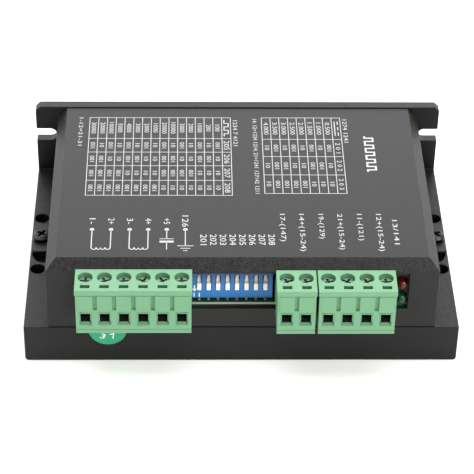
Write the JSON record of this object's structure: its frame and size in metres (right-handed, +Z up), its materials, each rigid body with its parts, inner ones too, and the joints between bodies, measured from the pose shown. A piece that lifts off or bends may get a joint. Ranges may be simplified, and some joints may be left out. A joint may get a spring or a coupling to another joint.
{
  "type": "stepper driver module",
  "caption": "Boxy motor driver: black finned L-shaped metal base, chamfered sheet cover, green pull-off screw terminals, blue DIP switch and two LEDs in a front window.",
  "frame": {"origin": "centre of the base's underside", "axes": "+X to the right along the long side, +Y towards the back wall and away from the terminals, +Z up"},
  "size_m": [0.118, 0.085, 0.034],
  "materials": {
    "black_aluminium": "black anodised, satin",
    "black_sheet": "fine-textured black-grey paint",
    "dark_steel": "blackened steel",
    "zinc": "zinc plated",
    "tinned_brass": "plated",
    "board_green": "solder mask over glass fibre",
    "green_moulding": "moulded, satin",
    "blue_moulding": "moulded, satin",
    "white_moulding": "moulded",
    "black_moulding": "moulded",
    "red_lens": "clear epoxy, red",
    "green_lens": "clear epoxy, green",
    "grey_pad": "soft thermal pad",
    "sticker_green": "printed film"
  },
  "bodies": {
    "chassis": {"heatsink_base": "black_aluminium", "top_cover": "black_sheet", "cover_screws": "dark_steel", "circuit_board": "board_green", "board_spacers": "zinc", "board_screws": "zinc", "header_6way": "green_moulding", "header_2way": "green_moulding", "header_4way": "green_moulding", "header_pins": "tinned_brass", "dip_switch_body": "blue_moulding", "dip_switch_pins": "tinned_brass", "led_holder": "black_moulding", "alarm_led": "red_lens", "power_led": "green_lens", "bulk_capacitors": "black_moulding", "controller_chip": "black_moulding", "optocouplers": "white_moulding", "power_transistors": "black_moulding", "thermal_pad": "grey_pad", "round_sticker": "sticker_green"},
    "plug_6way": {"plug_6way_housing": "green_moulding", "plug_6way_contacts": "tinned_brass"},
    "screw_6way_1": {"screw_6way_1": "zinc"},
    "clamp_6way_1": {"clamp_6way_1": "zinc"},
    "screw_6way_2": {"screw_6way_2": "zinc"},
    "clamp_6way_2": {"clamp_6way_2": "zinc"},
    "screw_6way_3": {"screw_6way_3": "zinc"},
    "clamp_6way_3": {"clamp_6way_3": "zinc"},
    "screw_6way_4": {"screw_6way_4": "zinc"},
    "clamp_6way_4": {"clamp_6way_4": "zinc"},
    "screw_6way_5": {"screw_6way_5": "zinc"},
    "clamp_6way_5": {"clamp_6way_5": "zinc"},
    "screw_6way_6": {"screw_6way_6": "zinc"},
    "clamp_6way_6": {"clamp_6way_6": "zinc"},
    "plug_2way": {"plug_2way_housing": "green_moulding", "plug_2way_contacts": "tinned_brass"},
    "screw_2way_1": {"screw_2way_1": "zinc"},
    "clamp_2way_1": {"clamp_2way_1": "zinc"},
    "screw_2way_2": {"screw_2way_2": "zinc"},
    "clamp_2way_2": {"clamp_2way_2": "zinc"},
    "plug_4way": {"plug_4way_housing": "green_moulding", "plug_4way_contacts": "tinned_brass"},
    "screw_4way_1": {"screw_4way_1": "zinc"},
    "clamp_4way_1": {"clamp_4way_1": "zinc"},
    "screw_4way_2": {"screw_4way_2": "zinc"},
    "clamp_4way_2": {"clamp_4way_2": "zinc"},
    "screw_4way_3": {"screw_4way_3": "zinc"},
    "clamp_4way_3": {"clamp_4way_3": "zinc"},
    "screw_4way_4": {"screw_4way_4": "zinc"},
    "clamp_4way_4": {"clamp_4way_4": "zinc"},
    "dip_lever_1": {"dip_lever_1": "white_moulding"},
    "dip_lever_2": {"dip_lever_2": "white_moulding"},
    "dip_lever_3": {"dip_lever_3": "white_moulding"},
    "dip_lever_4": {"dip_lever_4": "white_moulding"},
    "dip_lever_5": {"dip_lever_5": "white_moulding"},
    "dip_lever_6": {"dip_lever_6": "white_moulding"},
    "dip_lever_7": {"dip_lever_7": "white_moulding"},
    "dip_lever_8": {"dip_lever_8": "white_moulding"}
  },
  "joints": [
    {"name": "plug_6way_pull", "type": "slide", "parent": "chassis", "child": "plug_6way", "axis": [0, -1, 0], "range_m": [0, 0.012]},
    {"name": "screw_6way_1_turn", "type": "hinge", "parent": "plug_6way", "child": "screw_6way_1", "pos_m": [-0.0416, -0.04118, 0.0254], "axis": [0, 0, -1], "range_deg": [0, 1082]},
    {"name": "clamp_6way_1_rise", "type": "slide", "parent": "plug_6way", "child": "clamp_6way_1", "axis": [0, 0, 1], "range_m": [0, 0.00135]},
    {"name": "screw_6way_2_turn", "type": "hinge", "parent": "plug_6way", "child": "screw_6way_2", "pos_m": [-0.03652, -0.04118, 0.0254], "axis": [0, 0, -1], "range_deg": [0, 1082]},
    {"name": "clamp_6way_2_rise", "type": "slide", "parent": "plug_6way", "child": "clamp_6way_2", "axis": [0, 0, 1], "range_m": [0, 0.00135]},
    {"name": "screw_6way_3_turn", "type": "hinge", "parent": "plug_6way", "child": "screw_6way_3", "pos_m": [-0.03144, -0.04118, 0.0254], "axis": [0, 0, -1], "range_deg": [0, 1082]},
    {"name": "clamp_6way_3_rise", "type": "slide", "parent": "plug_6way", "child": "clamp_6way_3", "axis": [0, 0, 1], "range_m": [0, 0.00135]},
    {"name": "screw_6way_4_turn", "type": "hinge", "parent": "plug_6way", "child": "screw_6way_4", "pos_m": [-0.02636, -0.04118, 0.0254], "axis": [0, 0, -1], "range_deg": [0, 1082]},
    {"name": "clamp_6way_4_rise", "type": "slide", "parent": "plug_6way", "child": "clamp_6way_4", "axis": [0, 0, 1], "range_m": [0, 0.00135]},
    {"name": "screw_6way_5_turn", "type": "hinge", "parent": "plug_6way", "child": "screw_6way_5", "pos_m": [-0.02128, -0.04118, 0.0254], "axis": [0, 0, -1], "range_deg": [0, 1082]},
    {"name": "clamp_6way_5_rise", "type": "slide", "parent": "plug_6way", "child": "clamp_6way_5", "axis": [0, 0, 1], "range_m": [0, 0.00135]},
    {"name": "screw_6way_6_turn", "type": "hinge", "parent": "plug_6way", "child": "screw_6way_6", "pos_m": [-0.0162, -0.04118, 0.0254], "axis": [0, 0, -1], "range_deg": [0, 1082]},
    {"name": "clamp_6way_6_rise", "type": "slide", "parent": "plug_6way", "child": "clamp_6way_6", "axis": [0, 0, 1], "range_m": [0, 0.00135]},
    {"name": "plug_2way_pull", "type": "slide", "parent": "chassis", "child": "plug_2way", "axis": [0, -1, 0], "range_m": [0, 0.012]},
    {"name": "screw_2way_1_turn", "type": "hinge", "parent": "plug_2way", "child": "screw_2way_1", "pos_m": [0.01146, -0.04158, 0.0254], "axis": [0, 0, -1], "range_deg": [0, 1082]},
    {"name": "clamp_2way_1_rise", "type": "slide", "parent": "plug_2way", "child": "clamp_2way_1", "axis": [0, 0, 1], "range_m": [0, 0.00135]},
    {"name": "screw_2way_2_turn", "type": "hinge", "parent": "plug_2way", "child": "screw_2way_2", "pos_m": [0.01654, -0.04158, 0.0254], "axis": [0, 0, -1], "range_deg": [0, 1082]},
    {"name": "clamp_2way_2_rise", "type": "slide", "parent": "plug_2way", "child": "clamp_2way_2", "axis": [0, 0, 1], "range_m": [0, 0.00135]},
    {"name": "plug_4way_pull", "type": "slide", "parent": "chassis", "child": "plug_4way", "axis": [0, -1, 0], "range_m": [0, 0.012]},
    {"name": "screw_4way_1_turn", "type": "hinge", "parent": "plug_4way", "child": "screw_4way_1", "pos_m": [0.02238, -0.04158, 0.0254], "axis": [0, 0, -1], "range_deg": [0, 1082]},
    {"name": "clamp_4way_1_rise", "type": "slide", "parent": "plug_4way", "child": "clamp_4way_1", "axis": [0, 0, 1], "range_m": [0, 0.00135]},
    {"name": "screw_4way_2_turn", "type": "hinge", "parent": "plug_4way", "child": "screw_4way_2", "pos_m": [0.02746, -0.04158, 0.0254], "axis": [0, 0, -1], "range_deg": [0, 1082]},
    {"name": "clamp_4way_2_rise", "type": "slide", "parent": "plug_4way", "child": "clamp_4way_2", "axis": [0, 0, 1], "range_m": [0, 0.00135]},
    {"name": "screw_4way_3_turn", "type": "hinge", "parent": "plug_4way", "child": "screw_4way_3", "pos_m": [0.03254, -0.04158, 0.0254], "axis": [0, 0, -1], "range_deg": [0, 1082]},
    {"name": "clamp_4way_3_rise", "type": "slide", "parent": "plug_4way", "child": "clamp_4way_3", "axis": [0, 0, 1], "range_m": [0, 0.00135]},
    {"name": "screw_4way_4_turn", "type": "hinge", "parent": "plug_4way", "child": "screw_4way_4", "pos_m": [0.03762, -0.04158, 0.0254], "axis": [0, 0, -1], "range_deg": [0, 1082]},
    {"name": "clamp_4way_4_rise", "type": "slide", "parent": "plug_4way", "child": "clamp_4way_4", "axis": [0, 0, 1], "range_m": [0, 0.00135]},
    {"name": "dip_lever_1_slide", "type": "slide", "parent": "chassis", "child": "dip_lever_1", "axis": [0, 0, 1], "range_m": [0, 0.0025]},
    {"name": "dip_lever_2_slide", "type": "slide", "parent": "chassis", "child": "dip_lever_2", "axis": [0, 0, 1], "range_m": [0, 0.0025]},
    {"name": "dip_lever_3_slide", "type": "slide", "parent": "chassis", "child": "dip_lever_3", "axis": [0, 0, 1], "range_m": [0, 0.0025]},
    {"name": "dip_lever_4_slide", "type": "slide", "parent": "chassis", "child": "dip_lever_4", "axis": [0, 0, 1], "range_m": [0, 0.0025]},
    {"name": "dip_lever_5_slide", "type": "slide", "parent": "chassis", "child": "dip_lever_5", "axis": [0, 0, 1], "range_m": [0, 0.0025]},
    {"name": "dip_lever_6_slide", "type": "slide", "parent": "chassis", "child": "dip_lever_6", "axis": [0, 0, 1], "range_m": [0, 0.0025]},
    {"name": "dip_lever_7_slide", "type": "slide", "parent": "chassis", "child": "dip_lever_7", "axis": [0, 0, 1], "range_m": [0, 0.0025]},
    {"name": "dip_lever_8_slide", "type": "slide", "parent": "chassis", "child": "dip_lever_8", "axis": [0, 0, 1], "range_m": [0, 0.0025]}
  ],
  "couplings": [
    {"joint": "screw_6way_1_turn", "follows": "clamp_6way_1_rise", "rad_per_m": 13963},
    {"joint": "screw_6way_2_turn", "follows": "clamp_6way_2_rise", "rad_per_m": 13963},
    {"joint": "screw_6way_3_turn", "follows": "clamp_6way_3_rise", "rad_per_m": 13963},
    {"joint": "screw_6way_4_turn", "follows": "clamp_6way_4_rise", "rad_per_m": 13963},
    {"joint": "screw_6way_5_turn", "follows": "clamp_6way_5_rise", "rad_per_m": 13963},
    {"joint": "screw_6way_6_turn", "follows": "clamp_6way_6_rise", "rad_per_m": 13963},
    {"joint": "screw_2way_1_turn", "follows": "clamp_2way_1_rise", "rad_per_m": 13963},
    {"joint": "screw_2way_2_turn", "follows": "clamp_2way_2_rise", "rad_per_m": 13963},
    {"joint": "screw_4way_1_turn", "follows": "clamp_4way_1_rise", "rad_per_m": 13963},
    {"joint": "screw_4way_2_turn", "follows": "clamp_4way_2_rise", "rad_per_m": 13963},
    {"joint": "screw_4way_3_turn", "follows": "clamp_4way_3_rise", "rad_per_m": 13963},
    {"joint": "screw_4way_4_turn", "follows": "clamp_4way_4_rise", "rad_per_m": 13963}
  ]
}
